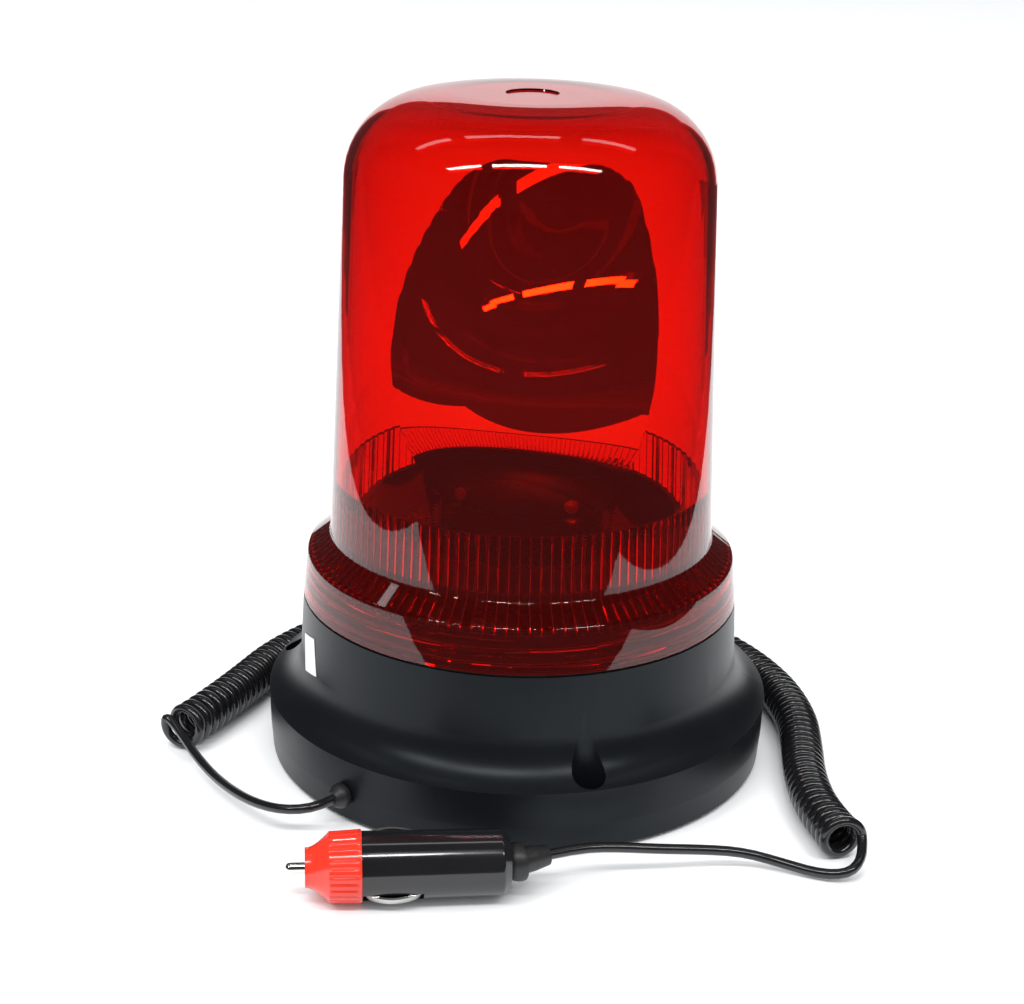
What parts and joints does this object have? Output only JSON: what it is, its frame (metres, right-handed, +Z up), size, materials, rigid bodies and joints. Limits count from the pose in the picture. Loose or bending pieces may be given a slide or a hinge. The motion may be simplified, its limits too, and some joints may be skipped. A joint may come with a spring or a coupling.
{
  "type": "rotating beacon",
  "caption": "Magnet-base rotating warning beacon: red screw-off dome over a geared parabolic mirror and bayonet lamp, with a curly cord and an accessory plug.",
  "frame": {"origin": "centre of the underside of the magnet pad, on the surface it stands on, without the free cord and plug", "axes": "+Z up along the rotor's axis; the plug lies on the -Y side; +X to the right seen from there"},
  "size_m": [0.2176, 0.2139, 0.2098],
  "materials": {
    "black_abs": "satin moulded black",
    "red_lens": "clear red moulding",
    "mirror_metal": "vacuum-metallised",
    "natural_nylon": "natural acetal",
    "black_nylon": "black acetal",
    "grey_rubber": "matt rubber",
    "black_rubber": "soft rubber",
    "cord_pvc": "glossy flexible PVC",
    "wire_red": "flexible PVC",
    "zinc_steel": "zinc-plated steel",
    "ferrite": "sintered ferrite",
    "motor_steel": "plated steel can",
    "brass": "plain brass",
    "nickel": "nickel-plated",
    "clear_glass": "clear glass",
    "red_gloss": "glossy red",
    "black_gloss": "glossy black",
    "white_nylon": "moulded nylon"
  },
  "bodies": {
    "base": {"housing": "black_abs", "bottom_cover": "black_abs", "cover_screws": "zinc_steel", "lens_gasket": "black_rubber", "deck": "black_abs", "deck_screws": "zinc_steel", "steel_plate": "zinc_steel", "magnet": "ferrite", "rubber_pad": "grey_rubber", "magnet_screw": "zinc_steel", "magnet_nut": "zinc_steel", "motor_can": "motor_steel", "motor_end_cap": "white_nylon", "motor_tabs": "brass", "motor_screws": "zinc_steel", "idler_axle": "zinc_steel", "idler_clip": "zinc_steel", "thrust_washer": "natural_nylon", "rotor_retainer": "zinc_steel", "lamp_holder": "brass", "holder_rivets": "brass", "bulb_cap": "brass", "contact_disc": "white_nylon", "contact_spring": "zinc_steel", "contact_pin": "brass", "bulb_glass": "clear_glass", "filament": "zinc_steel", "cord_gland": "black_rubber", "terminal_block": "white_nylon", "supply_lead": "cord_pvc", "motor_wires": "cord_pvc", "lamp_wire": "wire_red", "lead_to_beacon": "cord_pvc", "curly_cord": "cord_pvc", "lead_to_plug": "cord_pvc", "plug_body": "black_gloss", "plug_nose": "red_gloss", "fuse_glass": "clear_glass", "fuse_caps": "nickel", "plug_spring": "zinc_steel", "plug_boot": "black_rubber"},
    "rotor": {"rotor_gear": "black_nylon", "reflector": "mirror_metal", "reflector_screws": "zinc_steel"},
    "idler": {"idler_gear": "black_nylon"},
    "motor_rotor": {"motor_shaft": "zinc_steel", "motor_pinion": "brass"},
    "lens_body": {"lens": "red_lens"},
    "tip_body": {"plug_tip": "nickel"},
    "contact_front_body": {"plug_contact_front": "nickel"},
    "contact_back_body": {"plug_contact_back": "nickel"}
  },
  "joints": [
    {"name": "rotor_spin", "type": "hinge", "parent": "base", "child": "rotor", "pos_m": [0, 0, 0.074], "axis": [0, 0, 1], "continuous": true},
    {"name": "idler_spin", "type": "hinge", "parent": "base", "child": "idler", "pos_m": [-0.02376, 0.02376, 0.07], "axis": [0, 0, 1], "continuous": true},
    {"name": "motor_spin", "type": "hinge", "parent": "base", "child": "motor_rotor", "pos_m": [-0.03436, 0.01315, 0.067], "axis": [0, 0, 1], "continuous": true},
    {"name": "lens_lift", "type": "slide", "parent": "base", "child": "lens_body", "axis": [0, 0, 1], "range_m": [0, 0.155]},
    {"name": "tip_press", "type": "slide", "parent": "base", "child": "tip_body", "axis": [0.9938, 0.1115, 0], "range_m": [0, 0.003], "stiffness_N_per_m": 600, "springref_m": -0.002},
    {"name": "contact_front_press", "type": "slide", "parent": "base", "child": "contact_front_body", "axis": [-0.0878, 0.7831, 0.6157], "range_m": [0, 0.0009], "stiffness_N_per_m": 900, "springref_m": -0.001},
    {"name": "contact_back_press", "type": "slide", "parent": "base", "child": "contact_back_body", "axis": [0.0878, -0.7831, -0.6157], "range_m": [0, 0.0009], "stiffness_N_per_m": 900, "springref_m": -0.001}
  ],
  "couplings": [
    {"joint": "idler_spin", "follows": "rotor_spin", "ratio": -6},
    {"joint": "motor_spin", "follows": "rotor_spin", "ratio": 24}
  ]
}
